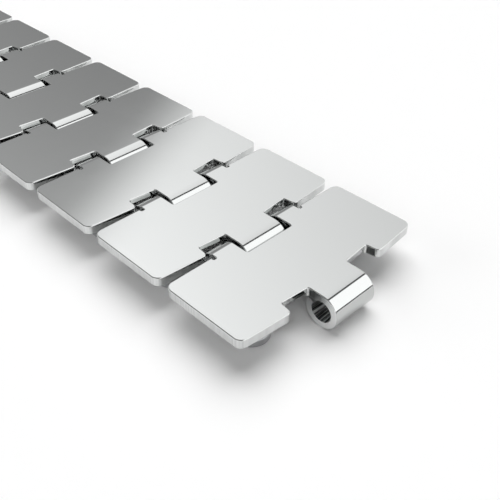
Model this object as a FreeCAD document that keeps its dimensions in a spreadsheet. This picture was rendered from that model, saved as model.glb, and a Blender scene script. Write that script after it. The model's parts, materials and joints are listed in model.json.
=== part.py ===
import FreeCAD, Part
import math
import os

from FreeCAD import Rotation, Vector
from Sketcher import Constraint

# A one-foot length of side-flexing flat top conveyor chain in stainless steel.
# +X is the running direction, +Y is the far side, +Z is up and the carrying face
# is the top. The origin is the centre of the leading eye's bore.

LINK_COUNT = 8

SIZES = {
    "pitch": 38.1,
    "plate_width": 82.5,
    "plate_thickness": 3.3,
    "corner_radius": 3.0,
    "edge_radius": 0.4,
    "pin_diameter": 6.35,
    "running_gap": 0.05,
    "pin_stand_out": 0.3,
    "pin_chamfer": 0.5,
    "centre_eye_width": 18.6,
    "hinge_width": 40.0,
    "eye_side_gap": 1.4,
    "seam_gap": 0.25,
    "bore_ream": 0.05,
    "bore_land": 1.6,
    "bore_flare_extra": 0.2,
    "flex_angle": 4.8,
    "flex_gap": 0.3,
    "wing_reach": 0.2,
    "notch_lip": 1.45,
    "notch_side_gap": 0.55,
    "notch_flare": 0.55,
    "notch_mouth_radius": 1.8,
    "notch_root_radius": 0.8,
    "undercut_gap": 0.2,
    "rear_notch_gap": 0.05,
    "relief_width": 1.4,
    "relief_depth": 1.2,
    "relief_radius": 0.5,
    "tab_thickness": 3.0,
    "tab_width": 8.0,
    "tab_bend_radius": 1.0,
    "tab_weld": 1.2,
    "tab_length": 8.5,
    "tab_setback": 13.0,
    "foot_radius": 6.25,
    "foot_inset": 7.9,
    "foot_edge_radius": 0.5,
}

# Two places nearer than this are the same, in mm
SAME_PLACE = 0.001

# Sizes that follow from the ones above, as expressions in the sheet's names
ROLL_RADIUS = "(sizes.pin_diameter / 2 + sizes.running_gap)"
EYE_RADIUS = f"({ROLL_RADIUS} + sizes.plate_thickness)"
CENTRE_HALF = "(sizes.centre_eye_width / 2)"
HINGE_HALF = "(sizes.hinge_width / 2)"
WING_HALF = "(sizes.plate_width / 2)"
OUTER_EYE_START = f"({CENTRE_HALF} + sizes.eye_side_gap)"
SWEEP = "tan(sizes.flex_angle * 1 deg)"
WAIST_RADIUS = f"({ROLL_RADIUS} + sizes.bore_ream)"
FLARE = "tan((sizes.flex_angle + sizes.bore_flare_extra) * 1 deg)"
MOUTH_RADIUS = f"({WAIST_RADIUS} + ({CENTRE_HALF} - sizes.bore_land / 2) * {FLARE})"
NOTCH_ROOT = f"({HINGE_HALF} + sizes.notch_side_gap)"
NOTCH_MOUTH = f"({NOTCH_ROOT} + sizes.notch_flare)"
NOTCH_DEPTH = f"({EYE_RADIUS} - sizes.notch_lip)"
REAR_EDGE = "(sizes.pitch - sizes.wing_reach - sizes.flex_gap)"
RELIEF_SIDE = f"({HINGE_HALF} + sizes.relief_width)"
RELIEF_END = f"({REAR_EDGE} - sizes.relief_depth)"
SEAM_HEIGHT = f"({ROLL_RADIUS} - sizes.seam_gap)"
REAR_NOTCH = f"(sizes.pitch - {EYE_RADIUS} - sizes.rear_notch_gap)"

doc = FreeCAD.newDocument("flat_top_chain")
sheet = doc.addObject("Spreadsheet::Sheet", "sizes")
for row, (alias, size) in enumerate(SIZES.items(), start=1):
    sheet.set(f"A{row}", alias)
    sheet.set(f"B{row}", str(size))
    sheet.setAlias(f"B{row}", alias)
doc.recompute()


def value(expression):
    """Work out an expression in the sheet's names as a plain number."""
    return float(sheet.evalExpression(expression.replace("sizes.", "")))


def origin_plane(body, role):
    """Find one of the body's own origin planes."""
    return next(item for item in body.Origin.OriginFeatures if item.Role == role)


def add_sketch(body, role, name, lift=None):
    """Start a sketch on one of the body's own origin planes."""
    sketch = body.newObject("Sketcher::SketchObject", name)
    sketch.AttachmentSupport = [(origin_plane(body, role), "")]
    sketch.MapMode = "FlatFace"
    if lift:
        sketch.setExpression("AttachmentOffset.Base.z", lift)
    return sketch


def size_constraint(sketch, expression, *what):
    """Add a dimension to a sketch and bind it to the sheet."""
    index = sketch.addConstraint(Constraint(*what, value(expression)))
    sketch.setExpression(f"Constraints[{index}]", expression)


def place_point(sketch, curve, end, across, up):
    """Hold a point of a sketch at a place given by two expressions."""
    for kind, axis, expression in (("DistanceX", -2, across), ("DistanceY", -1, up)):
        amount = value(expression)
        if amount == 0:
            sketch.addConstraint(Constraint("PointOnObject", curve, end, axis))
        elif amount > 0:
            size_constraint(sketch, expression, kind, -1, 1, curve, end)
        else:
            size_constraint(sketch, f"-({expression})", kind, curve, end, -1, 1)


def draw_outline(sketch, corners):
    """Draw a closed outline of straight lines through corners given as expressions."""
    points = [Vector(value(across), value(up), 0) for across, up in corners]
    lines = []
    for start, end in zip(points, points[1:] + points[:1]):
        lines.append(sketch.addGeometry(Part.LineSegment(start, end), False))
    for line, following in zip(lines, lines[1:] + lines[:1]):
        sketch.addConstraint(Constraint("Coincident", line, 2, following, 1))
    for line, (across, up) in zip(lines, corners):
        place_point(sketch, line, 1, across, up)


def draw_rolled_eye(sketch, rearward):
    """Draw the strip rolled round the pin, seen from the side, with its open seam."""
    centre = Vector(-value("sizes.pitch") if rearward else 0, 0, 0)
    seam_angle = math.asin(value(SEAM_HEIGHT) / value(EYE_RADIUS))
    if rearward:
        start, end = math.pi / 2, 2 * math.pi + seam_angle
    else:
        start, end = -math.pi - seam_angle, math.pi / 2
    top_then_seam = (1, 2) if rearward else (2, 1)
    arcs = []
    for expression in (EYE_RADIUS, ROLL_RADIUS):
        circle = Part.Circle(centre, Vector(0, 0, 1), value(expression))
        arcs.append(sketch.addGeometry(Part.ArcOfCircle(circle, start, end), False))
    lines = []
    for arc_end in top_then_seam:
        outside, inside = (sketch.getPoint(arc, arc_end) for arc in arcs)
        line = sketch.addGeometry(Part.LineSegment(outside, inside), False)
        sketch.addConstraint(Constraint("Coincident", line, 1, arcs[0], arc_end))
        sketch.addConstraint(Constraint("Coincident", line, 2, arcs[1], arc_end))
        lines.append(line)
    sketch.addConstraint(Constraint("Coincident", arcs[0], 3, arcs[1], 3))
    place_point(sketch, arcs[0], 3, "-sizes.pitch" if rearward else "0", "0")
    sketch.addConstraint(Constraint("Vertical", lines[0]))
    sketch.addConstraint(Constraint("PointOnObject", arcs[0], 3, lines[0]))
    sketch.addConstraint(Constraint("PointOnObject", arcs[0], 3, lines[1]))
    for arc, expression in zip(arcs, (EYE_RADIUS, ROLL_RADIUS)):
        size_constraint(sketch, expression, "Radius", arc)
    size_constraint(sketch, SEAM_HEIGHT, "DistanceY", -1, 1, arcs[0], top_then_seam[1])


def add_pad(body, sketch, name, length, reverse=False, symmetric=False):
    """Extrude a sketch by a length from the sheet."""
    pad = body.newObject("PartDesign::Pad", name)
    pad.Profile = sketch
    pad.setExpression("Length", length)
    pad.Reversed = reverse
    if symmetric:
        pad.SideType = "Symmetric"
    return pad


def add_turned_solid(body, sketch, name, axis):
    """Turn a section all the way round an axis of its sketch."""
    turned = body.newObject("PartDesign::Revolution", name)
    turned.Profile = sketch
    turned.ReferenceAxis = (sketch, [axis])
    turned.Angle = 360
    return turned


def add_turned_cut(body, sketch, name, axis):
    """Cut a shape turned all the way round an axis of its sketch."""
    volume_before = body.Shape.Volume
    groove = body.newObject("PartDesign::Groove", name)
    groove.Profile = sketch
    groove.ReferenceAxis = (sketch, [axis])
    groove.Angle = 360
    doc.recompute()
    if groove.Shape.Volume >= volume_before:
        raise RuntimeError(f"{name} cuts nothing from {body.Label}")
    return groove


def round_edges(body, name, edges, radius):
    """Round the named edges of the body as it stands."""
    solid_so_far = body.Tip
    fillet = body.newObject("PartDesign::Fillet", name)
    fillet.Base = (solid_so_far, edges)
    fillet.setExpression("Radius", radius)
    doc.recompute()
    return fillet


def edges_along(body, axis, spots):
    """Name the straight edges parallel to an axis at the given places across it."""
    sides = [side for side in ("x", "y", "z") if side != axis]
    wanted = [(value(first), value(second)) for first, second in spots]
    names = []
    for number, edge in enumerate(body.Shape.Edges, start=1):
        box, middle = edge.BoundBox, edge.CenterOfMass
        length = {"x": box.XLength, "y": box.YLength, "z": box.ZLength}[axis]
        if abs(length - edge.Length) > SAME_PLACE:
            continue
        place = [getattr(middle, side) for side in sides]
        if any(math.dist(place, spot) < SAME_PLACE for spot in wanted):
            names.append(f"Edge{number}")
    if len(names) != len(wanted):
        raise RuntimeError(f"{body.Label}: {len(names)} of {len(wanted)} edges found")
    return names


def carrying_face_edges(body):
    """Name the edges of the carrying face, without the ones that run on into the eyes."""
    top_height = value(EYE_RADIUS)
    hinge_lines = (0.0, -value("sizes.pitch"))
    names = []
    for number, edge in enumerate(body.Shape.Edges, start=1):
        box = edge.BoundBox
        on_top = box.ZMin > top_height - SAME_PLACE and box.ZMax < top_height + SAME_PLACE
        on_hinge_line = any(abs(box.XMin - line) < SAME_PLACE for line in hinge_lines)
        runs_on = box.XLength < SAME_PLACE and on_hinge_line
        on_middle = box.YMax < SAME_PLACE
        if on_top and not runs_on and not on_middle:
            names.append(f"Edge{number}")
    return names


def swept(across, start):
    """Place an edge that sweeps back by the flex angle as it runs outwards."""
    return f"-({start} + {SWEEP} * {across})"


def make_link(number):
    """Make one link: a flat plate with a rolled eye in front and two behind."""
    body = doc.addObject("PartDesign::Body", f"link_{number}")
    wing_start = "-sizes.wing_reach"
    front_corner = (swept(WING_HALF, wing_start), WING_HALF)
    mouth_corner = (swept(NOTCH_MOUTH, wing_start), NOTCH_MOUTH)
    root_corner = (swept(NOTCH_ROOT, NOTCH_DEPTH), NOTCH_ROOT)
    tongue_corner = (swept(CENTRE_HALF, NOTCH_DEPTH), CENTRE_HALF)
    rear_corner = (f"-{REAR_EDGE}", WING_HALF)
    relief_corner = (f"-{REAR_EDGE}", RELIEF_SIDE)
    relief_roots = [(f"-{RELIEF_END}", RELIEF_SIDE), (f"-{RELIEF_END}", HINGE_HALF)]
    rear_notch_corner = (f"-{REAR_NOTCH}", OUTER_EYE_START)

    # The flat plate, one half of it
    plate_outline = add_sketch(body, "XY_Plane", "plate_outline", ROLL_RADIUS)
    draw_outline(plate_outline, [
        ("0", "0"), ("0", CENTRE_HALF), tongue_corner, root_corner, mouth_corner,
        front_corner, rear_corner, relief_corner, *relief_roots,
        ("-sizes.pitch", HINGE_HALF), ("-sizes.pitch", OUTER_EYE_START),
        rear_notch_corner, (f"-{REAR_NOTCH}", "0"),
    ])
    add_pad(body, plate_outline, "plate", "sizes.plate_thickness")

    # The eyes, rolled down from the plate round the two pins
    centre_profile = add_sketch(body, "XZ_Plane", "centre_eye_profile")
    draw_rolled_eye(centre_profile, rearward=False)
    add_pad(body, centre_profile, "centre_eye", CENTRE_HALF, reverse=True)
    outer_profile = add_sketch(body, "XZ_Plane", "outer_eye_profile", f"-{OUTER_EYE_START}")
    draw_rolled_eye(outer_profile, rearward=True)
    add_pad(body, outer_profile, "outer_eye", f"{HINGE_HALF} - {OUTER_EYE_START}", reverse=True)
    doc.recompute()

    # The bore is an hourglass, so that the pin can tilt when the chain flexes sideways
    hourglass = add_sketch(body, "XY_Plane", "hourglass")
    draw_outline(hourglass, [
        ("0", "-sizes.bore_land / 2"), (WAIST_RADIUS, "-sizes.bore_land / 2"),
        (WAIST_RADIUS, "sizes.bore_land / 2"), (MOUTH_RADIUS, CENTRE_HALF), ("0", CENTRE_HALF),
    ])
    add_turned_cut(body, hourglass, "hourglass_bore", "V_Axis")

    # Under the notch the plate is cut back for the neighbour's eye at full flex
    undercut = add_sketch(body, "XY_Plane", "undercut_section")
    add_flexed_section(undercut)
    add_turned_cut(body, undercut, "notch_undercut", "Axis0")

    # Rounded corners in plan, then the carrying face's edges
    rounds = [
        ("outer_corners", [front_corner, rear_corner], "sizes.corner_radius"),
        ("notch_mouth", [mouth_corner], "sizes.notch_mouth_radius"),
        ("notch_roots", [tongue_corner, root_corner, rear_notch_corner], "sizes.notch_root_radius"),
        ("reliefs", [relief_corner, *relief_roots], "sizes.relief_radius"),
    ]
    for name, spots, radius in rounds:
        round_edges(body, name, edges_along(body, "z", spots), radius)
    round_edges(body, "carrying_face_edges", carrying_face_edges(body), "sizes.edge_radius")

    other_half = body.newObject("PartDesign::Mirrored", "other_half")
    other_half.TransformMode = "Whole shape"
    other_half.MirrorPlane = (origin_plane(body, "XZ_Plane"), [""])
    body.Tip = other_half
    body.setExpression("Placement.Base.x", f"-{number - 1} * sizes.pitch")
    return body


def add_flexed_section(sketch):
    """Draw the section that an outer eye sweeps at full flex, beside its own axis."""
    start = f"({OUTER_EYE_START} - sizes.notch_side_gap / 2)"
    end = f"({HINGE_HALF} + sizes.notch_side_gap / 2)"
    reach = f"({EYE_RADIUS} + sizes.undercut_gap)"
    lean_sine = "sin(sizes.flex_angle * 1 deg)"
    lean_cosine = "cos(sizes.flex_angle * 1 deg)"

    def leaning(along, outwards):
        return (
            f"-({along} * {lean_sine} + {outwards} * {lean_cosine})",
            f"{along} * {lean_cosine} - {outwards} * {lean_sine}",
        )

    near_start, near_end = leaning(start, "0"), leaning(end, "0")
    axis_points = [Vector(value(across), value(up), 0) for across, up in (near_start, near_end)]
    axis = sketch.addGeometry(Part.LineSegment(*axis_points), True)
    place_point(sketch, axis, 1, *near_start)
    place_point(sketch, axis, 2, *near_end)
    draw_outline(sketch, [near_start, near_end, leaning(end, reach), leaning(start, reach)])


def make_pin(number):
    """Make the pin that joins a link to the one behind it."""
    body = doc.addObject("PartDesign::Body", f"hinge_pin_{number}")
    radius = "sizes.pin_diameter / 2"
    half = f"({HINGE_HALF} + sizes.pin_stand_out)"
    section = add_sketch(body, "XY_Plane", "pin_section")
    draw_outline(section, [
        ("0", f"-{half}"), (f"{radius} - sizes.pin_chamfer", f"-{half}"),
        (radius, f"-({half} - sizes.pin_chamfer)"), (radius, f"{half} - sizes.pin_chamfer"),
        (f"{radius} - sizes.pin_chamfer", half), ("0", half),
    ])
    add_turned_solid(body, section, "pin", "V_Axis")
    body.setExpression("Placement.Base.x", f"-{number} * sizes.pitch")
    return body


def make_tab(number, side):
    """Make a hold-down tab: a bent strip welded under a wing, with a round foot."""
    body = doc.addObject("PartDesign::Body", f"link_{number}_{side}_tab")
    foot_under = f"-{EYE_RADIUS}"
    foot_top = f"(sizes.tab_thickness - {EYE_RADIUS})"
    foot_place = f"({WING_HALF} - sizes.foot_inset - sizes.foot_radius)"
    leg_inside = "sizes.tab_length"
    leg_outside = f"({leg_inside} - sizes.tab_thickness)"
    bead_start = f"({ROLL_RADIUS} - sizes.tab_weld)"

    foot_section = add_sketch(body, "YZ_Plane", "foot_section")
    draw_outline(foot_section, [
        ("0", foot_under), ("sizes.foot_radius", foot_under),
        ("sizes.foot_radius", foot_top), ("0", foot_top),
    ])
    add_turned_solid(body, foot_section, "foot", "V_Axis")
    doc.recompute()
    rims = []
    for edge_number, edge in enumerate(body.Shape.Edges, start=1):
        if edge.Curve.TypeId == "Part::GeomCircle":
            rims.append(f"Edge{edge_number}")
    round_edges(body, "foot_rim", rims, "sizes.foot_edge_radius")

    strip_profile = add_sketch(body, "YZ_Plane", "strip_profile")
    draw_outline(strip_profile, [
        ("0", foot_under), (leg_inside, foot_under), (leg_inside, bead_start),
        (f"{leg_inside} + sizes.tab_weld", ROLL_RADIUS),
        (f"{leg_outside} - sizes.tab_weld", ROLL_RADIUS),
        (leg_outside, bead_start), (leg_outside, foot_top), ("0", foot_top),
    ])
    add_pad(body, strip_profile, "strip", "sizes.tab_width", symmetric=True)
    doc.recompute()
    round_edges(
        body, "bend_outside", edges_along(body, "x", [(leg_inside, foot_under)]),
        "sizes.tab_bend_radius + sizes.tab_thickness",
    )
    round_edges(
        body, "bend_inside", edges_along(body, "x", [(leg_outside, foot_top)]),
        "sizes.tab_bend_radius",
    )
    link_place = f"-{number - 1} * sizes.pitch"
    if side == "near":
        body.setExpression("Placement.Base.x", f"{link_place} - sizes.tab_setback")
        body.setExpression("Placement.Base.y", f"-{foot_place}")
    else:
        body.Placement.Rotation = Rotation(Vector(0, 0, 1), 180)
        body.setExpression("Placement.Base.x", f"{link_place} - (sizes.pitch - sizes.tab_setback)")
        body.setExpression("Placement.Base.y", foot_place)
    return body


pieces = []
for link_number in range(1, LINK_COUNT + 1):
    pieces.append(make_link(link_number))
    pieces.append(make_tab(link_number, "near"))
    pieces.append(make_tab(link_number, "far"))
for pin_number in range(1, LINK_COUNT):
    pieces.append(make_pin(pin_number))
doc.recompute()

for item in doc.Objects:
    if "Invalid" in item.State or "Error" in item.State:
        raise RuntimeError(f"{item.Name} failed: {item.State}")
for piece in pieces:
    shape = piece.Shape
    if shape.isNull() or not shape.isValid() or len(shape.Solids) != 1:
        raise RuntimeError(f"{piece.Label} has no single valid solid")

os.makedirs("parts", exist_ok=True)
for piece in pieces:
    piece.Shape.exportStep(f"parts/{piece.Label}.step")
    print(piece.Label, round(piece.Shape.Volume), "mm3")
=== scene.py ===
import functools
import json
import math

import bmesh
import bpy
from bpy.props import FloatProperty, FloatVectorProperty, IntProperty, PointerProperty
from mathutils import Matrix, Vector

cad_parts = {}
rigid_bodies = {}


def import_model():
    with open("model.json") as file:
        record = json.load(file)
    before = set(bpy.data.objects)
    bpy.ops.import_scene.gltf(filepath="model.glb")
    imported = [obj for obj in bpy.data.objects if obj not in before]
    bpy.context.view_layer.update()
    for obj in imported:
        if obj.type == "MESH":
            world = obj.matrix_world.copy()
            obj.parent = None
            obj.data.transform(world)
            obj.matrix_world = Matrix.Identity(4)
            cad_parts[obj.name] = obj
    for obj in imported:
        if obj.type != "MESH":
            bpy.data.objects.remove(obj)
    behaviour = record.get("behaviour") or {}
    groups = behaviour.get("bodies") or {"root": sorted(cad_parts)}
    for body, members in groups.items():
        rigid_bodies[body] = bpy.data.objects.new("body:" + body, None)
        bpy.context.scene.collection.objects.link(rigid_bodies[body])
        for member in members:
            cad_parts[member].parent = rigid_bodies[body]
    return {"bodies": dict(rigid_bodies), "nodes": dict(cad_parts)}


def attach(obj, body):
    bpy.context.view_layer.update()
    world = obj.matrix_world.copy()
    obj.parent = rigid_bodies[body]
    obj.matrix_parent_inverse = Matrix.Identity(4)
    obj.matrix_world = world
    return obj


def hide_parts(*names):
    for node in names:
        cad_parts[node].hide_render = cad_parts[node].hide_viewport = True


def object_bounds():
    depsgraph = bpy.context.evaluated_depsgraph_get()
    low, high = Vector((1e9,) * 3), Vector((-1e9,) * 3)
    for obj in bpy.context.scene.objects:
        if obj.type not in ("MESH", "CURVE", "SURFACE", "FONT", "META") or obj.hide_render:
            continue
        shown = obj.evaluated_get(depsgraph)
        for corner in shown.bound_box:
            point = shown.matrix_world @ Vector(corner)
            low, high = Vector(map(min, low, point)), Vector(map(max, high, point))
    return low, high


# A side-flexing flat top conveyor chain in polished stainless steel, on a white stage.
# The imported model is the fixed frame: +X is the running direction, +Z is up, and the
# origin is the centre of the leading eye's bore. It is in metres.

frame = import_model()
cad_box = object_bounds()

bl_info = {
    "name": "Flat Top Chain",
    "version": (1, 0, 0),
    "blender": (4, 5, 0),
    "location": "3D View > Sidebar > Chain",
    "description": "Finishes a flat top conveyor chain in polished steel and sets it on a white stage",
    "category": "Object",
}

LINK_BODIES = sorted(name for name in frame["bodies"] if name.startswith("link_"))
PIN_BODIES = sorted(name for name in frame["bodies"] if name.startswith("pin_"))


def millimetres(name, description, default):
    """Declare a size in millimetres."""
    return FloatProperty(name=name, description=f"{description}, in millimetres", min=0, default=default)


def degrees(name, description, default):
    """Declare an angle. Its default is given in degrees."""
    return FloatProperty(
        name=name, description=description, subtype="ANGLE", unit="ROTATION",
        min=0, default=math.radians(default),
    )


def colour(name, description, default):
    """Declare a colour."""
    return FloatVectorProperty(
        name=name, description=description, subtype="COLOR", size=3, min=0, max=1, default=default,
    )


def level(name, description, default, most=1):
    """Declare a level from zero to its most, such as a roughness or a brightness."""
    return FloatProperty(
        name=name, description=description, subtype="FACTOR", min=0, max=most, default=default,
    )


class LinkSizes(bpy.types.PropertyGroup):
    """Sizes of one link: a stamped blank whose tongues are rolled round the hinges."""

    pitch: millimetres("Pitch", "Distance from one hinge to the next", 38.1)
    plate_thickness: millimetres("Plate Thickness", "Thickness of the plate and of the rolled eyes", 3.3)
    bore_radius: millimetres("Bore Radius", "Radius that the tongues are rolled to inside", 3.225)
    roll_angle: degrees("Roll Angle", "How far round a hinge a tongue is rolled", 297.13)
    centre_half: millimetres("Centre Half", "Half the width of the centre eye", 9.3)
    outer_eye_start: millimetres("Outer Eye Start", "Distance from the middle to an outer eye", 10.7)
    hinge_half: millimetres("Hinge Half", "Distance of an outer eye's outer end from the middle", 20.0)
    wing_half: millimetres("Wing Half", "Half the width of the plate", 41.25)
    wing_reach: millimetres("Wing Reach", "How far the front edges would pass the hinge at the middle", 0.2)
    sweep_angle: degrees("Sweep Angle", "How far the wings' front edges are swept back", 4.8)
    rear_edge: millimetres("Rear Edge", "Distance of the wings' rear edge from the hinge in front", 37.6)
    corner_radius: millimetres("Corner Radius", "Radius of the wings' corners", 3.0)
    edge_radius: millimetres("Edge Radius", "Rounding of the carrying face's edge", 0.4)
    notch_depth: millimetres("Notch Depth", "Depth of the front notches at the middle", 5.075)
    notch_root: millimetres("Notch Root", "Distance of a front notch's outer root from the middle", 20.55)
    notch_mouth: millimetres("Notch Mouth", "Distance of a front notch's outer lip from the middle", 21.1)
    mouth_radius: millimetres("Mouth Radius", "Radius of the front notches' outer lips", 1.8)
    root_radius: millimetres("Root Radius", "Radius of the notches' roots", 0.8)
    relief_side: millimetres("Relief Side", "Distance of a rear relief's outer side from the middle", 21.4)
    relief_end: millimetres("Relief End", "Distance of a rear relief's end from the hinge in front", 36.4)
    relief_radius: millimetres("Relief Radius", "Radius of the rear reliefs' corners", 0.5)
    rear_notch: millimetres("Rear Notch", "Distance of the rear notch's end from the hinge in front", 31.525)
    bore_land_radius: millimetres("Bore Land Radius", "Radius of the centre bore at its land", 3.275)
    bore_land_half: millimetres("Bore Land Half", "Half the length of the centre bore's land", 0.8)
    bore_flare: degrees("Bore Flare", "Slope of the centre bore from its land to its mouths", 5.0)
    undercut_radius: millimetres("Undercut Radius", "Radius that the notch walls are cut back to", 6.725)
    undercut_start: millimetres("Undercut Start", "Where the undercut starts along the leaning pin", 10.425)
    undercut_end: millimetres("Undercut End", "Where the undercut ends along the leaning pin", 20.275)


class WeldSizes(bpy.types.PropertyGroup):
    """Sizes of the weld beads, one on each side of a hold-down tab's leg."""

    leg_middle: millimetres("Leg Middle", "Distance of a tab leg's middle from the chain's middle", 20.1)
    near_place: millimetres("Near Place", "Distance of the near leg's middle from the hinge in front", 13.0)
    far_place: millimetres("Far Place", "Distance of the far leg's middle from the hinge in front", 25.1)
    ripple_height: millimetres("Ripple Height", "Height of the ripples' middles over the hinge", 2.975)
    bead_offset: millimetres("Bead Offset", "Distance of the ripples' middles from the leg's middle", 1.75)
    bead_length: millimetres("Bead Length", "Length of a bead between its end ripples' middles", 7.0)
    ripple_radius: millimetres("Ripple Radius", "Radius of a ripple", 0.9)
    ripple_thickness: millimetres("Ripple Thickness", "Half the thickness of a ripple along the bead", 0.45)
    ripple_count: IntProperty(
        name="Ripple Count", description="Number of ripples in a bead", min=2, default=15,
    )
    seed: IntProperty(name="Seed", description="Number that fixes the ripples' irregular sizes", default=4)


class ChainFinish(bpy.types.PropertyGroup):
    """Colours and polish of the three steels."""

    plate_colour: colour("Plate Colour", "Colour of the polished plates and eyes", (0.785, 0.80, 0.795))
    plate_roughness: level("Plate Roughness", "How far the polish blurs a reflection", 0.1)
    sheared_colour: colour("Sheared Colour", "Colour of sheared edges and underside", (0.74, 0.75, 0.745))
    # The mark colour also paints shade on the lower part of each eye
    mark_and_shade_colour: colour("Mark Colour", "Colour of shear marks and unpolished steel", (0.54, 0.55, 0.545))
    sheared_roughness: level("Sheared Roughness", "Roughness of sheared edges and the bores' grooves", 0.09)
    ground_colour: colour("Ground Colour", "Colour of the ground ends of the eyes", (0.90, 0.91, 0.905))
    # The bores' bright and dark colours paint reflection streaks over the roll marks
    bore_reflection_colour: colour("Bore Colour", "Colour of the rough roll marks in the bores", (0.95, 0.96, 0.955))
    bore_dark_reflection_colour: colour("Groove Colour", "Colour between the bores' roll marks", (0.18, 0.185, 0.185))
    bore_roughness: level("Bore Roughness", "Roughness of the roll marks in the bores", 0.48)
    mill_roughness: level("Mill Roughness", "Roughness of the plates' underside", 0.32)
    heat_colour: colour("Heat Colour", "Colour of the strip where the weld heated it", (0.30, 0.27, 0.24))
    tab_colour: colour("Tab Colour", "Colour of the plain strip of the hold-down tabs", (0.42, 0.425, 0.43))
    tab_roughness: level("Tab Roughness", "Roughness of the plain strip", 0.38)
    pin_colour: colour("Pin Colour", "Colour of the ground hinge pins", (0.62, 0.63, 0.64))
    pin_roughness: level("Pin Roughness", "Roughness of the ground pins", 0.22)


class ChainStage(bpy.types.PropertyGroup):
    """Floor, lamps, the cards that the steel mirrors, and camera."""

    floor_colour: colour("Floor Colour", "Colour of the floor", (0.98, 0.98, 0.98))
    sky_light: level("Sky Light", "Light that the white surroundings throw on the scene", 0.0, 3)
    key_share: level("Key Share", "Share of the floor's light from the wide key lamp behind", 0.78, 2)
    fill_share: level("Fill Share", "Share of the floor's light from the fill lamp in front", 0.18, 2)
    low_side_share: level("Low Side Share", "Share of the floor's light from the low side lamp", 0.06, 2)
    box_brightness: level("Soft Box Brightness", "Brightness of the card that the eyes mirror", 1.22, 5)
    flag_brightness: level("Flag Brightness", "Brightness of the wall's grey, for far links", 0.363)
    side_flag_brightness: level("Side Flag Brightness", "Brightness of the card at the near side", 0.14)
    wall_brightness: level("Wall Brightness", "Brightness of the wall's white, for near links", 1.045, 2)
    lens: FloatProperty(
        name="Lens", description="Focal length of the camera", subtype="DISTANCE_CAMERA", unit="CAMERA",
        min=10, max=200, default=52.23,
    )


def add_object(name, data):
    """Put a mesh, lamp or camera in the scene. Return its object."""
    item = bpy.data.objects.new(name, data)
    bpy.context.scene.collection.objects.link(item)
    return item


def direction(turn, height):
    """Point along a turn from +X and a height above the horizon, both in radians."""
    return Vector((math.cos(turn) * math.cos(height), math.sin(turn) * math.cos(height), math.sin(height)))


def feed(tree, socket, value):
    """Give an input another node's output, or a plain value. A plain colour comes without its alpha."""
    if isinstance(value, bpy.types.NodeSocket):
        tree.links.new(value, socket)
    elif socket.type == "RGBA":
        socket.default_value = (*value, 1)
    else:
        socket.default_value = value


def in_use(sockets):
    """List the sockets that a node's settings leave in use, by number and by name."""
    used = [socket for socket in sockets if socket.enabled]
    return dict(enumerate(used)) | {socket.name: socket for socket in reversed(used)}


def add_node(tree, kind, inputs=None, output=0, **settings):
    """Add a node with its settings and feed its inputs. Return the output that is asked for."""
    node = tree.nodes.new(kind)
    for name, value in settings.items():
        setattr(node, name, value)
    sockets = in_use(node.inputs)
    for key, value in (inputs or {}).items():
        feed(tree, sockets[key], value)
    return in_use(node.outputs)[output]


def add_math(tree, operation, *values):
    """Calculate with sockets or plain numbers. Return the result."""
    return add_node(tree, "ShaderNodeMath", dict(enumerate(values)), operation=operation)


def add_mix(tree, kind, factor, low, high):
    """Mix two colours or two numbers, given as sockets or plain values. Return the result."""
    return add_node(tree, "ShaderNodeMix", {0: factor, 1: low, 2: high}, data_type=kind)


def add_range(tree, value, low, high, to_low, to_high, interpolation="LINEAR"):
    """Map a value from one range to another. Return the result."""
    return add_node(tree, "ShaderNodeMapRange", {
        "Value": value, "From Min": low, "From Max": high, "To Min": to_low, "To Max": to_high,
    }, interpolation_type=interpolation)


def split_vector(tree, vector):
    """Split a vector. Return its x, y and z."""
    node = tree.nodes.new("ShaderNodeSeparateXYZ")
    tree.links.new(vector, node.inputs[0])
    return node.outputs


def join_vector(tree, x=0, y=0, z=0):
    """Make a vector of sockets or plain numbers. Return it."""
    return add_node(tree, "ShaderNodeCombineXYZ", {"X": x, "Y": y, "Z": z})


def new_material(name):
    """Start a material. Return it and its tree."""
    material = bpy.data.materials.new(name)
    material.use_nodes = True
    return material, material.node_tree


def new_steel(name, base_colour, roughness):
    """Start a metal with its uniform values set on the shader's own sockets. Return it and its tree."""
    material, tree = new_material(name)
    surface = tree.nodes["Principled BSDF"].inputs
    for socket, value in (("Base Color", base_colour), ("Metallic", 1), ("Roughness", roughness)):
        feed(tree, surface[socket], value)
    return material, tree


def finish_steel(tree, base_colour, roughness, height, depth):
    """Link the patterns of a steel's colour, roughness and height. The height has a depth in metres."""
    surface = tree.nodes["Principled BSDF"].inputs
    normal = add_node(tree, "ShaderNodeBump", {"Height": height, "Distance": depth})
    for socket, value in (("Base Color", base_colour), ("Roughness", roughness), ("Normal", normal)):
        feed(tree, surface[socket], value)


def add_noise(tree, vector, pattern):
    """Add a noise pattern, given as its repeats along the vector's axes and its detail. Return its value."""
    repeats, detail = pattern
    stretched = add_node(tree, "ShaderNodeMapping", {"Vector": vector, "Scale": repeats})
    return add_node(tree, "ShaderNodeTexNoise", {"Vector": stretched, "Scale": 1, "Detail": detail})


# Patterns that follow the strip: repeats per millimetre along, across and through it, and detail
GRAIN = ((0.03, 4, 0), 4)
CLOUDS = ((0.09, 0.09, 0), 2)
SHEAR_MARKS = ((1.6, 0.05, 0), 3)
# The roll marks' pattern also places the painted reflection streaks in the bores
ROLL_MARKS_AND_STREAKS = ((2.2, 0.03, 0), 2)
CLOUD_SHARE = 0.5

# Patterns on the tabs and pins: repeats per metre along X, Y and Z, and detail
BLOTCHES = ((500, 500, 500), 4)
PITS = ((4000, 4000, 4000), 2)
RINGS = ((30, 9000, 30), 3)
STAINS = ((250, 250, 250), 3)

# The part of a noise's range that is stretched to the whole range
SOFT_CONTRAST = (0.3, 0.7)
CLEAR_CONTRAST = (0.35, 0.65)
HARSH_CONTRAST = (0.42, 0.58)

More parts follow.
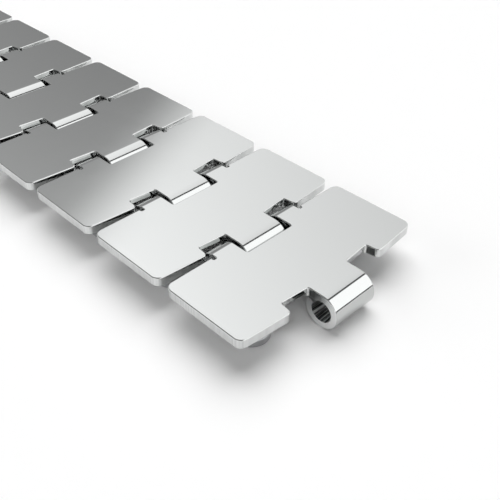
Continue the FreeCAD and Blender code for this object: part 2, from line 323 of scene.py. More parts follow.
# The shares of a steel's roughness that its patterns vary it between
HAZE_SHARES = (0.8, 1.2)
SHEARED_SHARES = (0.7, 1.0)
STRIP_SHARES = (0.8, 1.25)
PIN_SHARES = (0.7, 1.4)

# How deep the patterns are, in metres, and the even height of the polish, which has none
MARK_DEPTH = 0.000006
RING_DEPTH = 0.000004
FLAT_HEIGHT = 0.5

# Where an eye starts, and where its polish ends and its lower part turns darker, along the strip from the
# hinge, in millimetres. The darker lower part is partly unpolished steel and partly painted shade, where the
# eye mirrors the shaded floor
EYE_START = 2.0
POLISH_FADE_AND_SHADE = (4.9, 5.5)

# How far a face of the blank points up where the polish fades in, and where the underside does
POLISHED_FACING = (0.1, 0.45)
UNDER_FACING = (-0.1, -0.5)


def polished_plate_steel(finish, pitch):
    """Stainless plate: polished on the carrying face and round the eyes, dull where sheared or inside, with
    painted reflection streaks in the bores and painted shade on the lower part of the eyes.
    """
    material, tree = new_steel("polished_plate_steel", finish.plate_colour, finish.plate_roughness)
    mix = functools.partial(add_mix, tree, "FLOAT")
    mix_colours = functools.partial(add_mix, tree, "RGBA")
    spread = functools.partial(add_range, tree)
    blank_place = add_node(tree, "ShaderNodeAttribute", output="Vector", attribute_name="blank_place")
    facing_up = add_node(tree, "ShaderNodeAttribute", output="Fac", attribute_name="facing_up")
    polish = spread(facing_up, *POLISHED_FACING, 0, 1)
    under = spread(facing_up, *UNDER_FACING, 0, 1)

    # The strip past the nearer hinge is an eye, polished at first
    along = split_vector(tree, blank_place)["X"]
    past_hinge = add_math(tree, "MAXIMUM", along, add_math(tree, "SUBTRACT", -pitch, along))
    on_eye = spread(past_hinge, 0, EYE_START, 0, 1)
    past_polish_and_shade = spread(past_hinge, *POLISH_FADE_AND_SHADE, 0, 1)

    # A grain runs along the strip and its surface clouds a little
    grain = add_noise(tree, blank_place, GRAIN)
    clouds = add_noise(tree, blank_place, CLOUDS)
    haze = spread(mix(CLOUD_SHARE, grain, clouds), *SOFT_CONTRAST, 0, 1)

    # Shear marks run through the thickness of the cut edges. The ends of the eyes are ground bright
    marks = spread(add_noise(tree, blank_place, SHEAR_MARKS), *CLEAR_CONTRAST, 0, 1)
    sheared_colour = mix_colours(marks, finish.mark_and_shade_colour, finish.sheared_colour)
    cut_colour = mix_colours(on_eye, sheared_colour, finish.ground_colour)
    cut_roughness = spread(marks, 0, 1, *(finish.sheared_roughness * share for share in SHEARED_SHARES))

    # Roll marks run along the bores as bumps, and their dark and bright colour streaks are painted
    # reflection. The underside of the plate keeps the mill's finish
    roll_marks_and_streaks = spread(add_noise(tree, blank_place, ROLL_MARKS_AND_STREAKS), *HARSH_CONTRAST, 0, 1)
    bore_reflection_colour = mix_colours(roll_marks_and_streaks, finish.bore_dark_reflection_colour, finish.bore_reflection_colour)
    bore_roughness = spread(roll_marks_and_streaks, 0, 1, finish.sheared_roughness, finish.bore_roughness)
    mill_colour = mix_colours(haze, finish.mark_and_shade_colour, finish.sheared_colour)
    mill_roughness = spread(haze, 0, 1, *(finish.mill_roughness * share for share in HAZE_SHARES))
    under_colour = mix_colours(on_eye, mill_colour, bore_reflection_colour)
    under_roughness = mix(on_eye, mill_roughness, bore_roughness)
    under_height = mix(on_eye, grain, roll_marks_and_streaks)

    # The polish leaves no grain to feel, and it doesn't reach round to the underside of the eyes. There the
    # darker colour is partly unpolished steel and partly painted shade
    upper_colour_with_shade = mix_colours(past_polish_and_shade, finish.plate_colour, finish.mark_and_shade_colour)
    upper_roughness = spread(haze, 0, 1, *(finish.plate_roughness * share for share in HAZE_SHARES))

    finish_steel(
        tree,
        mix_colours(polish, mix_colours(under, cut_colour, under_colour), upper_colour_with_shade),
        mix(polish, mix(under, cut_roughness, under_roughness), upper_roughness),
        mix(polish, mix(under, marks, under_height), FLAT_HEIGHT),
        MARK_DEPTH,
    )
    return material


# Between these heights above the hinge, in metres, the weld's heat tints a tab up to this share
WELD_TINT_BETWEEN = (0.0008, 0.0030)
WELD_TINT = 0.7

# How bright a tab's pale blotches are against its strip
PALE_SHARE = 1.25


def tab_strip_steel(finish):
    """Plain rolled strip: blotchy, duller than the plate, and tinted by heat near the weld at its top."""
    material, tree = new_steel("tab_strip_steel", finish.tab_colour, finish.tab_roughness)
    place = add_node(tree, "ShaderNodeTexCoord", output="Object")
    blotches = add_range(tree, add_noise(tree, place, BLOTCHES), *CLEAR_CONTRAST, 0, 1)
    pits = add_noise(tree, place, PITS)
    pale = tuple(min(1, part * PALE_SHARE) for part in finish.tab_colour)
    strip_colour = add_mix(tree, "RGBA", blotches, finish.tab_colour, pale)
    heat = add_range(tree, split_vector(tree, place)["Z"], *WELD_TINT_BETWEEN, 0, WELD_TINT)
    finish_steel(
        tree,
        add_mix(tree, "RGBA", heat, strip_colour, finish.heat_colour),
        add_range(tree, pits, *SOFT_CONTRAST, *(finish.tab_roughness * share for share in STRIP_SHARES)),
        pits,
        MARK_DEPTH,
    )
    return material


# How bright a pin's stains are against its steel
DEEP_SHARE = 0.85


def ground_pin_steel(finish):
    """Ground pin: fine rings round it from the grinding, and faint stains."""
    material, tree = new_steel("ground_pin_steel", finish.pin_colour, finish.pin_roughness)
    place = add_node(tree, "ShaderNodeTexCoord", output="Object")
    rings = add_noise(tree, place, RINGS)
    deep = tuple(part * DEEP_SHARE for part in finish.pin_colour)
    finish_steel(
        tree,
        add_mix(tree, "RGBA", add_noise(tree, place, STAINS), deep, finish.pin_colour),
        add_range(tree, rings, *SOFT_CONTRAST, *(finish.pin_roughness * share for share in PIN_SHARES)),
        rings,
        RING_DEPTH,
    )
    return material


def give_material(node, material):
    """Assign a material to a carried-over CAD node."""
    slots = frame["nodes"][node].material_slots
    for slot in slots:
        slot.material = material
    if not slots:
        frame["nodes"][node].data.materials.append(material)


# The blank is drawn and rolled in millimetres, and scaled to metres when its link is placed
MILLIMETRE = 0.001

# How finely the blank is drawn: the most that a step of an arc turns, the cuts that let a tongue roll and
# the front bore flare, and the steps up the wall and round its upper edge
ARC_STEP = math.radians(12)
ROLL_CUTS = 84
BORE_CUTS = 8
WALL_STEPS = 3
ROUNDING_STEPS = 5

# How near a point counts as lying on a cut, in millimetres, and the bend from which an edge looks sharp
SNAP_DISTANCE = 0.00001
SHARP_ANGLE = math.radians(40)


def blank_corners(link):
    """List half the blank's corners as x, y and radius, from the centre tongue's tip to the rear notch."""
    roll_length = link.roll_angle * (link.bore_radius + link.plate_thickness / 2)
    rear_tip = -link.pitch - roll_length

    def swept(across, setback):
        return -(setback + math.tan(link.sweep_angle) * across)

    return (
        (roll_length, link.centre_half, 0),
        (swept(link.centre_half, link.notch_depth), link.centre_half, link.root_radius),
        (swept(link.notch_root, link.notch_depth), link.notch_root, link.root_radius),
        (swept(link.notch_mouth, -link.wing_reach), link.notch_mouth, link.mouth_radius),
        (swept(link.wing_half, -link.wing_reach), link.wing_half, link.corner_radius),
        (-link.rear_edge, link.wing_half, link.corner_radius),
        (-link.rear_edge, link.relief_side, link.relief_radius),
        (-link.relief_end, link.relief_side, link.relief_radius),
        (-link.relief_end, link.hinge_half, link.relief_radius),
        (rear_tip, link.hinge_half, 0),
        (rear_tip, link.outer_eye_start, 0),
        (-link.rear_notch, link.outer_eye_start, link.root_radius),
    )


def rounded_outline(corners):
    """Round the corners of a closed outline and return its points."""
    points = []
    for index, (x, y, radius) in enumerate(corners):
        corner = Vector((x, y))
        if radius == 0:
            points.append(corner)
            continue
        back = (Vector(corners[index - 1][:2]) - corner).normalized()
        ahead = (Vector(corners[(index + 1) % len(corners)][:2]) - corner).normalized()
        half_opening = back.angle(ahead) / 2
        centre = corner + (back + ahead).normalized() * (radius / math.sin(half_opening))
        spoke = corner + back * (radius / math.tan(half_opening)) - centre
        turn = math.copysign(math.pi - 2 * half_opening, ahead.cross(back))
        steps = math.ceil(abs(turn) / ARC_STEP)
        for step in range(steps + 1):
            points.append(centre + Matrix.Rotation(turn * step / steps, 2) @ spoke)
    return points


def inset_directions(points):
    """Give each point of a closed outline its inward direction, long enough to keep the edges parallel."""
    directions = []
    for index, point in enumerate(points):
        along_in = (point - points[index - 1]).normalized()
        along_out = (points[(index + 1) % len(points)] - point).normalized()
        inward_in = Vector((-along_in.y, along_in.x))
        inward_out = Vector((-along_out.y, along_out.x))
        directions.append((inward_in + inward_out) / (1 + inward_in.dot(inward_out)))
    return directions


def wall_levels(link):
    """List the heights and insets of the blank's wall: straight up, then round to the carrying face."""
    wall_distance = link.notch_depth * math.cos(link.sweep_angle)
    undercut_top = math.sqrt(link.undercut_radius ** 2 - wall_distance ** 2)
    wall_step = (undercut_top - link.bore_radius) / WALL_STEPS
    levels = [(link.bore_radius + wall_step * step, 0) for step in range(WALL_STEPS + 1)]
    shoulder = link.bore_radius + link.plate_thickness - link.edge_radius
    for step in range(ROUNDING_STEPS + 1):
        turn = math.pi / 2 * step / ROUNDING_STEPS
        levels.append((
            shoulder + link.edge_radius * math.sin(turn), link.edge_radius * (1 - math.cos(turn)),
        ))
    return levels


def make_blank(link):
    """Make the flat stamped blank of a link, its tongues still straight, as a closed mesh in millimetres."""
    far_half = blank_corners(link)
    near_half = tuple((x, -y, radius) for x, y, radius in reversed(far_half))
    points = rounded_outline(far_half + near_half)
    inward_directions = inset_directions(points)

    blank = bmesh.new()
    rings = []
    for height, inset in wall_levels(link):
        ring = [point + inward * inset for point, inward in zip(points, inward_directions)]
        rings.append([blank.verts.new((place.x, place.y, height)) for place in ring])
    for lower, upper in zip(rings, rings[1:]):
        for index in range(len(points)):
            blank.faces.new((lower[index - 1], lower[index], upper[index], upper[index - 1]))
    blank.faces.new(rings[-1])
    blank.faces.new(reversed(rings[0]))

    roll_length = far_half[0][0]
    bore_reach = math.sqrt(bore_mouth_radius(link) ** 2 - link.bore_radius ** 2)
    cross_cuts = [-bore_reach * (step + 1) / BORE_CUTS for step in range(BORE_CUTS)]
    for step in range(ROLL_CUTS):
        cross_cuts += [roll_length * step / ROLL_CUTS, -link.pitch - roll_length * step / ROLL_CUTS]
    for place in cross_cuts:
        cut_blank(blank, Vector((place, 0, 0)), Vector((1, 0, 0)))
    for side in (-1, 1):
        cut_blank(blank, Vector((0, side * link.bore_land_half, 0)), Vector((0, 1, 0)))

    mesh = bpy.data.meshes.new("stamped_blank")
    blank.to_mesh(mesh)
    blank.free()
    mesh.shade_smooth()
    mesh.set_sharp_from_angle(angle=SHARP_ANGLE)
    return mesh


def bore_mouth_radius(link):
    """Radius of the centre eye's bore at its two mouths."""
    return link.bore_land_radius + (link.centre_half - link.bore_land_half) * math.tan(link.bore_flare)


def cut_blank(blank, place, facing):
    """Cut all faces along a plane, so that they can bend there."""
    everything = blank.verts[:] + blank.edges[:] + blank.faces[:]
    bmesh.ops.bisect_plane(blank, geom=everything, dist=SNAP_DISTANCE, plane_co=place, plane_no=facing)


def start_tree(name, inputs):
    """Start a geometry tree with named inputs. Return the tree, its inputs and its output."""
    tree = bpy.data.node_groups.new(name, "GeometryNodeTree")
    tree.interface.new_socket("Geometry", in_out="INPUT", socket_type="NodeSocketGeometry")
    for input_name, kind in inputs:
        tree.interface.new_socket(input_name, in_out="INPUT", socket_type=f"NodeSocket{kind}")
    tree.interface.new_socket("Geometry", in_out="OUTPUT", socket_type="NodeSocketGeometry")
    given = tree.nodes.new("NodeGroupInput").outputs
    result = tree.nodes.new("NodeGroupOutput").inputs["Geometry"]
    return tree, given, result


def store_attribute(tree, geometry, name, data_type, domain, value):
    """Keep a value on the geometry for its material. Return the geometry."""
    return add_node(
        tree, "GeometryNodeStoreNamedAttribute", {"Geometry": geometry, "Name": name, "Value": value},
        data_type=data_type, domain=domain,
    )


def paint_real(tree, geometry, steel):
    """Make a tree's instances real and give them their steel. Return the geometry."""
    real = add_node(tree, "GeometryNodeRealizeInstances", {"Geometry": geometry})
    return add_node(tree, "GeometryNodeSetMaterial", {"Geometry": real, "Material": steel})


# How far past its end the centre eye still flares with its bore, in millimetres
EYE_MARGIN = 0.01


def rolling_tree():
    """Build the tree that rolls the tongues into eyes, flares the front bore and undercuts the notches."""
    names = (
        "Pitch", "Roll Mean Radius", "Centre Half", "Bore Land Radius", "Bore Land Half", "Bore Flare",
        "Undercut Radius", "Undercut Start", "Undercut End", "Sweep Angle",
    )
    tree, given, result = start_tree("roll_link", [(name, "Float") for name in names])
    calculate = functools.partial(add_math, tree)
    plus, minus, times, over, larger = (
        functools.partial(calculate, operation)
        for operation in ("ADD", "SUBTRACT", "MULTIPLY", "DIVIDE", "MAXIMUM")
    )
    position = add_node(tree, "GeometryNodeInputPosition")
    x, y, z = split_vector(tree, position)
    across = calculate("ABSOLUTE", y)

    # The notch walls are cut back to a circle about the pin's axis at full side flex
    lean_cos = calculate("COSINE", given["Sweep Angle"])
    lean_sin = calculate("SINE", given["Sweep Angle"])
    behind = times(plus(times(x, lean_cos), times(across, lean_sin)), -1)
    along = minus(times(across, lean_cos), times(x, lean_sin))
    reach_squared = minus(calculate("POWER", given["Undercut Radius"], 2), calculate("POWER", z, 2))
    shortfall = larger(minus(calculate("SQRT", larger(reach_squared, 0)), behind), 0)
    for inside in (
        calculate("GREATER_THAN", behind, 0),
        calculate("GREATER_THAN", along, given["Undercut Start"]),
        calculate("LESS_THAN", along, given["Undercut End"]),
    ):
        shortfall = times(shortfall, inside)
    x = minus(x, times(shortfall, lean_cos))
    y = minus(y, times(times(shortfall, lean_sin), calculate("SIGN", y)))

    # What reaches past a hinge line bends down round that hinge
    flat_x = calculate("MINIMUM", larger(x, times(given["Pitch"], -1)), 0)
    bend = over(minus(x, flat_x), given["Roll Mean Radius"])
    rolled_x = plus(flat_x, times(z, calculate("SINE", bend)))
    rolled_z = times(z, calculate("COSINE", bend))

    # The front bore widens from its land to both mouths
    past_land = larger(minus(across, given["Bore Land Half"]), 0)
    bore = plus(given["Bore Land Radius"], times(past_land, calculate("TANGENT", given["Bore Flare"])))
    distance = calculate("SQRT", plus(calculate("POWER", rolled_x, 2), calculate("POWER", rolled_z, 2)))
    growth = minus(larger(over(bore, distance), 1), 1)
    in_eye = calculate("LESS_THAN", across, plus(given["Centre Half"], EYE_MARGIN))
    scale = plus(times(growth, in_eye), 1)

    # The steel's pattern follows the flat blank, so each point keeps its place on it
    marked = store_attribute(tree, given["Geometry"], "blank_place", "FLOAT_VECTOR", "POINT", position)
    facing_up = split_vector(tree, add_node(tree, "GeometryNodeInputNormal"))["Z"]
    marked = store_attribute(tree, marked, "facing_up", "FLOAT", "FACE", facing_up)
    moved = add_node(tree, "GeometryNodeSetPosition", {
        "Geometry": marked, "Position": join_vector(tree, times(rolled_x, scale), y, times(rolled_z, scale)),
    })
    tree.links.new(moved, result)
    return tree


def placing_tree():
    """Build the tree that scales a rolled link to metres and sets it at its place in the chain."""
    tree, given, result = start_tree("place_link", (
        ("Link Number", "Int"), ("Pitch", "Float"), ("Scale", "Float"), ("Steel", "Material"),
    ))
    steps_back = add_math(tree, "SUBTRACT", 1, given["Link Number"])
    place = join_vector(tree, add_math(tree, "MULTIPLY", steps_back, given["Pitch"]))
    scaled = add_node(tree, "GeometryNodeTransform", {
        "Geometry": given["Geometry"], "Scale": given["Scale"],
    })
    moved = add_node(tree, "GeometryNodeTransform", {"Geometry": scaled, "Translation": place})
    tree.links.new(paint_real(tree, moved, given["Steel"]), result)
    return tree


# A ripple is a small ball, drawn to its sizes and shrunk by a random share
RIPPLE_SEGMENTS = 10
RIPPLE_RINGS = 6
RIPPLE_SHARES = (0.88, 1.0)


def weld_tree():
    """Build the tree that lays two beads of overlapping ripples along a tab's leg."""
    tree, given, result = start_tree("lay_weld", (
        ("Leg Place", "Vector"), ("Bead Offset", "Float"), ("Bead Length", "Float"),
        ("Ripple Radius", "Float"), ("Ripple Thickness", "Float"), ("Ripple Count", "Int"),
        ("Scale", "Float"), ("Seed", "Int"), ("Steel", "Material"),
    ))
    gaps = add_math(tree, "SUBTRACT", given["Ripple Count"], 1)
    spacing = join_vector(tree, add_math(tree, "DIVIDE", given["Bead Length"], gaps))
    start = add_math(tree, "DIVIDE", given["Bead Length"], -2)
    both_beads = tree.nodes.new("GeometryNodeJoinGeometry")
    for side in (-1, 1):
        offset = add_math(tree, "MULTIPLY", given["Bead Offset"], side)
        line = add_node(tree, "GeometryNodeMeshLine", {
            "Count": given["Ripple Count"],
            "Start Location": join_vector(tree, start, offset),
            "Offset": spacing,
        })
        tree.links.new(line, both_beads.inputs[0])

    ball = add_node(tree, "GeometryNodeMeshUVSphere", {
        "Segments": RIPPLE_SEGMENTS, "Rings": RIPPLE_RINGS, "Radius": 1,
    })
    ripple = add_node(tree, "GeometryNodeSetShadeSmooth", {"Geometry": ball})
    size = join_vector(tree, given["Ripple Thickness"], given["Ripple Radius"], given["Ripple Radius"])
    least, most = RIPPLE_SHARES
    share = add_node(tree, "FunctionNodeRandomValue", {
        "Min": least, "Max": most, "Seed": given["Seed"],
    }, data_type="FLOAT")
    shrunk = add_node(tree, "ShaderNodeVectorMath", {"Vector": size, "Scale": share}, operation="SCALE")
    laid = add_node(tree, "GeometryNodeInstanceOnPoints", {
        "Points": both_beads.outputs[0], "Instance": ripple, "Scale": shrunk,
    })
    moved = add_node(tree, "GeometryNodeTransform", {"Geometry": laid, "Translation": given["Leg Place"]})
    scaled = add_node(tree, "GeometryNodeTransform", {"Geometry": moved, "Scale": given["Scale"]})
    tree.links.new(paint_real(tree, scaled, given["Steel"]), result)
    return tree


def add_tree(item, tree, values):
    """Give an object a geometry tree as a modifier, with its named inputs set."""
    modifier = item.modifiers.new(tree.name, "NODES")
    modifier.node_group = tree
    for socket in tree.interface.items_tree:
        if socket.in_out == "INPUT" and socket.name in values:
            modifier[socket.identifier] = values[socket.name]


def settle(item, name):
    """Turn an object with modifiers into a plain piece with the same shape."""
    depsgraph = bpy.context.evaluated_depsgraph_get()
    mesh = bpy.data.meshes.new_from_object(
        item.evaluated_get(depsgraph), preserve_all_data_layers=True, depsgraph=depsgraph,
    )
    mesh.name = name
    start_mesh = item.data
    bpy.data.objects.remove(item)
    if start_mesh.users == 0:
        bpy.data.meshes.remove(start_mesh)
    return add_object(name, mesh)


# Larger faces lead where faces meet, so that the flat carrying face stays flat to its edge
FACE_WEIGHT = 100


class CHAIN_OT_link_plates(bpy.types.Operator):
    """Stamp, roll and place the eight link plates with their rolled eyes"""

    bl_idname = "chain.link_plates"
    bl_label = "Link Plates"

    def execute(self, context):
        link = context.scene.chain_link
        steel = polished_plate_steel(context.scene.chain_finish, link.pitch)
        blank = make_blank(link)
        roll, put = rolling_tree(), placing_tree()
        roll_values = {
            "Pitch": link.pitch,
            "Roll Mean Radius": link.bore_radius + link.plate_thickness / 2,
            "Centre Half": link.centre_half,
            "Bore Land Radius": link.bore_land_radius,
            "Bore Land Half": link.bore_land_half,
            "Bore Flare": link.bore_flare,
            "Undercut Radius": link.undercut_radius,
            "Undercut Start": link.undercut_start,
            "Undercut End": link.undercut_end,
            "Sweep Angle": link.sweep_angle,
        }
        for number, body in enumerate(LINK_BODIES, start=1):
            item = add_object(body, blank.copy())
            add_tree(item, roll, roll_values)
            weights = item.modifiers.new("weighted_normals", "WEIGHTED_NORMAL")
            weights.keep_sharp = True
            weights.weight = FACE_WEIGHT
            add_tree(item, put, {
                "Link Number": number, "Pitch": link.pitch * MILLIMETRE, "Scale": MILLIMETRE, "Steel": steel,
            })
            piece = settle(item, f"{body}_plate")
            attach(piece, body)
            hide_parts(body)
        return {"FINISHED"}


class CHAIN_OT_hold_down_tabs(bpy.types.Operator):
    """Finish the hold-down tabs under the wings and lay the ripples of their weld beads"""

    bl_idname = "chain.hold_down_tabs"
    bl_label = "Hold-Down Tabs"

    def execute(self, context):
        weld = context.scene.chain_weld
        pitch = context.scene.chain_link.pitch
        steel = tab_strip_steel(context.scene.chain_finish)
        lay = weld_tree()
        for number, body in enumerate(LINK_BODIES, start=1):
            for side, place, across in (("near", weld.near_place, -1), ("far", weld.far_place, 1)):
                give_material(f"{body}_{side}_tab", steel)
                item = add_object(body, bpy.data.meshes.new(f"{body}_{side}_bead_start"))
                leg_x = -place - pitch * (number - 1)
                add_tree(item, lay, {
                    "Leg Place": (leg_x, across * weld.leg_middle, weld.ripple_height),
                    "Bead Offset": weld.bead_offset,
                    "Bead Length": weld.bead_length,
                    "Ripple Radius": weld.ripple_radius,
                    "Ripple Thickness": weld.ripple_thickness,
                    "Ripple Count": weld.ripple_count,
                    "Scale": MILLIMETRE,
                    "Seed": weld.seed + number,
                    "Steel": steel,
                })
                piece = settle(item, f"{body}_{side}_weld")
                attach(piece, body)
        return {"FINISHED"}


class CHAIN_OT_hinge_pins(bpy.types.Operator):
    """Finish the hinge pins"""

    bl_idname = "chain.hinge_pins"
    bl_label = "Hinge Pins"

    def execute(self, context):
        steel = ground_pin_steel(context.scene.chain_finish)
        for body in PIN_BODIES:
            give_material(f"hinge_{body}", steel)
        return {"FINISHED"}


class CHAIN_OT_white_stage(bpy.types.Operator):
    """Set the chain on a white floor, with soft lamps, the cards that it mirrors and the camera"""

    bl_idname = "chain.white_stage"
    bl_label = "White Stage"

    def execute(self, context):
        stage = context.scene.chain_stage
        context.scene.view_settings.view_transform = "Standard"
        add_camera(stage)
        add_floor(stage)
        add_surroundings(stage)
        add_soft_lamps(stage)
        add_flagged_wall(stage)
        add_soft_box(stage)
        add_side_flag(stage)
        return {"FINISHED"}


# The camera stands in front of the leading eye's near side, as in the photograph. Distances are in metres
# and angles in radians, but the sensor's width is in millimetres
CAMERA_PLACE = Vector((0.1021, -0.14119, 0.15685))
CAMERA_YAW = 2.3638
CAMERA_PITCH = 0.6748
CAMERA_ROLL = -0.0038
SENSOR_WIDTH = 36
NEAREST_SEEN = 0.01
FARTHEST_SEEN = 50


def add_camera(stage):
    """Stand the camera where the photograph was taken from."""
    camera_data = bpy.data.cameras.new("camera")
    camera_data.lens = stage.lens
    camera_data.sensor_width = SENSOR_WIDTH
    camera_data.clip_start = NEAREST_SEEN
    camera_data.clip_end = FARTHEST_SEEN
    camera = add_object("camera", camera_data)
    forward = direction(CAMERA_YAW, -CAMERA_PITCH)
    level_right = forward.cross(Vector((0, 0, 1))).normalized()
    right = Matrix.Rotation(CAMERA_ROLL, 3, forward) @ level_right
    up = right.cross(forward)
    camera.matrix_world = Matrix.Translation(CAMERA_PLACE) @ Matrix((
        (right.x, up.x, -forward.x), (right.y, up.y, -forward.y), (right.z, up.z, -forward.z),
    )).to_4x4()
    bpy.context.scene.camera = camera


# The corners of a sheet as its two sides, in order round it
SHEET_CORNERS = ((-1, -1), (1, -1), (1, 1), (-1, 1))

# The floor's size, and its gap under the lowest point of the chain, in metres
FLOOR_SIZE = 6.0
FLOOR_GAP = 0.0001


def add_sheet(name, corners, material):
    """Stand or lay a four-cornered sheet on the stage. Return it."""
    mesh = bpy.data.meshes.new(name)
    mesh.from_pydata(corners, [], [(0, 1, 2, 3)])
    mesh.materials.append(material)
    sheet = add_object(name, mesh)
    return sheet


def add_floor(stage):
    """Lay a white floor just under the eyes and feet."""
    material, tree = new_material("white_floor")
    shader = tree.nodes["Principled BSDF"]
    for socket, value in (("Base Color", stage.floor_colour), ("Roughness", 1), ("Specular IOR Level", 0)):
        feed(tree, shader.inputs[socket], value)

    # From below the floor is clear, so that the feet and whatever hangs lower can be seen
    one_sided = add_node(tree, "ShaderNodeMixShader", {
        0: add_node(tree, "ShaderNodeNewGeometry", output="Backfacing"),
        1: shader.outputs[0],
        2: add_node(tree, "ShaderNodeBsdfTransparent"),
    })
    tree.links.new(one_sided, tree.nodes["Material Output"].inputs["Surface"])
    centre = (cad_box[0] + cad_box[1]) / 2
    height = cad_box[0].z - FLOOR_GAP
    add_sheet("floor", [
        (centre.x + x * FLOOR_SIZE / 2, centre.y + y * FLOOR_SIZE / 2, height) for x, y in SHEET_CORNERS
    ], material)


def add_surroundings(stage):
    """White surroundings: full strength where they are seen or mirrored, and their own setting as light."""
    world = bpy.data.worlds.new("white_surroundings")
    bpy.context.scene.world = world
    world.use_nodes = True
    tree = world.node_tree
    background = tree.nodes["Background"].inputs
    rays = tree.nodes.new("ShaderNodeLightPath").outputs
    seen = add_math(tree, "MAXIMUM", rays["Is Camera Ray"], rays["Is Glossy Ray"])
    seen = add_math(tree, "MAXIMUM", seen, rays["Is Transmission Ray"])
    feed(tree, background["Color"], (1, 1, 1))
    feed(tree, background["Strength"], add_range(tree, seen, 0, 1, stage.sky_light, 1))


# Each soft lamp's name, turn from +X, height above the floor and width, in degrees
SOFT_LAMPS = (("key", 133, 59, 66), ("fill", 315, 42, 50), ("low_side", 225, 18, 30))


def add_soft_lamps(stage):
    """Light the floor softly, mostly from behind. The steel mirrors the cards and surroundings instead."""
    for name, turn, height, width in SOFT_LAMPS:
        turn, height = math.radians(turn), math.radians(height)
        lamp_data = bpy.data.lights.new(f"{name}_lamp", "SUN")
        lamp_data.angle = math.radians(width)
        lamp_data.energy = getattr(stage, f"{name}_share") * math.pi / math.sin(height)
        lamp = add_object(f"{name}_lamp", lamp_data)
        lamp.rotation_euler = direction(turn, height).to_track_quat("Z", "Y").to_euler()
        lamp.visible_glossy = False


# How far off the wall and the soft box stand, their length, and half the wall's height, in metres
CARD_DISTANCE = 2.5
CARD_LENGTH = 15.0
WALL_HALF_HEIGHT = 5.0

# The wall turns from grey to white at a slanting plane through the origin, with its normal on the white
# side. The turn is soft, between two angles above that plane
FLAG_EDGE_NORMAL = Vector((0.674, 0.430, 0.672))
FLAG_EDGE_SOFTNESS = (math.radians(0.2), math.radians(6.4))

# How the white and the grey brighten along a direction, their limits, and where they are as bright as set
WALL_SLOPE = Vector((-0.129, -0.967, 0.0))
WALL_LIMITS = (0.75, 1.12)
FLAG_SLOPE = Vector((0.748, -0.763, 0.0))
FLAG_LIMITS = (0.27, 0.42)
SET_BRIGHTNESS_AT = Vector((-0.7, 0.45, 0.0))

# The soft box stands between its foot and its top, as angles above +X, and dark rims go on past both
BOX_TOP_ANGLE = math.radians(80.0)
BOX_FOOT_ANGLE = math.radians(7.5)
BOX_RIM_ANGLE = math.radians(9.5)
RIM_BRIGHTNESS = 0.05

# The side flag's ends along X, and its foot and head as Y and Z, in metres
SIDE_FLAG_ENDS = (-4.0, 2.0)
SIDE_FLAG_FOOT = (-1.5, 0.45)
SIDE_FLAG_HEAD = (0.5, 2.4)


def add_card(name, corners, brightness):
    """Stand an evenly bright card where only mirrored rays see it. Return its tree."""
    material, tree = new_material(name)
    tree.nodes.remove(tree.nodes["Principled BSDF"])
    glow = add_node(tree, "ShaderNodeEmission", {"Color": (1, 1, 1), "Strength": brightness})
    tree.links.new(glow, tree.nodes["Material Output"].inputs["Surface"])
    card = add_sheet(name, corners, material)
    card.visible_camera = card.visible_diffuse = card.visible_shadow = False
    return tree


def add_flagged_wall(stage):
    """Stand a wall behind the chain that the plates mirror: white above a slanting soft edge, grey below."""
    normal = FLAG_EDGE_NORMAL.normalized()
    edge = (Vector((0, 1, 0)) - normal * normal.y).normalized()
    middle = normal.cross(edge) * CARD_DISTANCE
    tree = add_card("flagged_wall", [
        middle + edge * (across * CARD_LENGTH / 2) + normal * (rise * WALL_HALF_HEIGHT)
        for across, rise in SHEET_CORNERS
    ], stage.flag_brightness)

    place = add_node(tree, "ShaderNodeTexCoord", output="Object")
    towards = add_node(tree, "ShaderNodeVectorMath", {0: place}, operation="NORMALIZE")
    low, high = (math.sin(angle) for angle in FLAG_EDGE_SOFTNESS)
    above_edge = add_range(tree, add_dot(tree, towards, normal), low, high, 0, 1, "SMOOTHSTEP")
    grey = add_slope(tree, towards, stage.flag_brightness, FLAG_SLOPE, FLAG_LIMITS)
    white = add_slope(tree, towards, stage.wall_brightness, WALL_SLOPE, WALL_LIMITS)
    feed(tree, tree.nodes["Emission"].inputs["Strength"], add_mix(tree, "FLOAT", above_edge, grey, white))


def add_dot(tree, towards, axis):
    """Measure how far a direction goes along a fixed axis. Return it."""
    return add_node(tree, "ShaderNodeVectorMath", {0: towards, 1: axis}, "Value", operation="DOT_PRODUCT")


def add_slope(tree, towards, brightness, slope, limits):
    """Let a brightness rise evenly with the direction, between two limits. Return it."""
    offset = brightness - slope.dot(SET_BRIGHTNESS_AT)
    low, high = limits
    return add_range(tree, add_dot(tree, towards, slope), low - offset, high - offset, low, high)


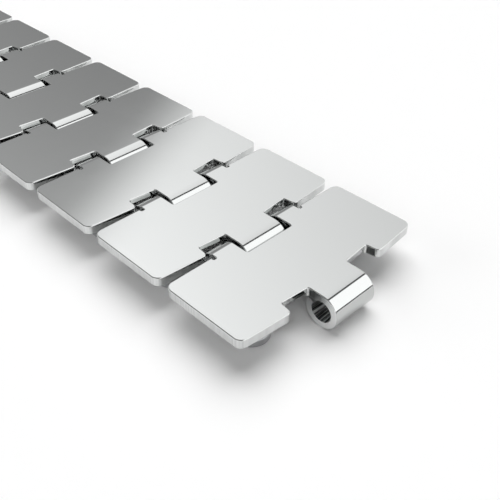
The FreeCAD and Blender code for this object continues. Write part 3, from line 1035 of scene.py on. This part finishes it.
def add_soft_box(stage):
    """Stand a white card in front and overhead, with a dark rim, which the rolled eyes mirror as a band."""
    foot, top = BOX_FOOT_ANGLE, BOX_TOP_ANGLE
    for name, lower, upper, brightness in (
        ("soft_box", foot, top, stage.box_brightness),
        ("soft_box_top_rim", top, top + BOX_RIM_ANGLE, RIM_BRIGHTNESS),
        ("soft_box_foot_rim", foot - BOX_RIM_ANGLE, foot, RIM_BRIGHTNESS),
    ):
        add_card(name, [
            direction(0, angle) * CARD_DISTANCE + Vector((0, side * CARD_LENGTH / 2, 0))
            for angle, side in ((lower, -1), (lower, 1), (upper, 1), (upper, -1))
        ], brightness)


def add_side_flag(stage):
    """Lean a grey card over the near side, which the near edges mirror as a thin line."""
    start, end = SIDE_FLAG_ENDS
    foot, head = SIDE_FLAG_FOOT, SIDE_FLAG_HEAD
    corners = [(start, *foot), (end, *foot), (end, *head), (start, *head)]
    add_card("side_flag", corners, stage.side_flag_brightness)


class CHAIN_PT_panel(bpy.types.Panel):
    """Lists the chain's settings, its pieces and its stage"""

    bl_label = "Flat Top Chain"
    bl_idname = "CHAIN_PT_panel"
    bl_space_type = "VIEW_3D"
    bl_region_type = "UI"
    bl_category = "Chain"

    def draw(self, context):
        for name, group in SETTINGS.items():
            for setting in group.__annotations__:
                self.layout.prop(getattr(context.scene, name), setting)
        for operator in OPERATORS:
            self.layout.operator(operator.bl_idname)


SETTINGS = {
    "chain_link": LinkSizes,
    "chain_weld": WeldSizes,
    "chain_finish": ChainFinish,
    "chain_stage": ChainStage,
}
OPERATORS = (
    CHAIN_OT_link_plates,
    CHAIN_OT_hold_down_tabs,
    CHAIN_OT_hinge_pins,
    CHAIN_OT_white_stage,
)
CLASSES = (*SETTINGS.values(), *OPERATORS, CHAIN_PT_panel)


def register():
    """Register the classes and give the scene its settings."""
    for item in CLASSES:
        bpy.utils.register_class(item)
    for name, group in SETTINGS.items():
        setattr(bpy.types.Scene, name, PointerProperty(type=group))


def unregister():
    """Take the scene's settings and the classes away again."""
    for name in SETTINGS:
        delattr(bpy.types.Scene, name)
    for item in reversed(CLASSES):
        bpy.utils.unregister_class(item)


def main():
    """Register the tools and make every piece in order."""
    register()
    bpy.ops.chain.link_plates()
    bpy.ops.chain.hold_down_tabs()
    bpy.ops.chain.hinge_pins()
    bpy.ops.chain.white_stage()


if __name__ == "__main__":
    main()
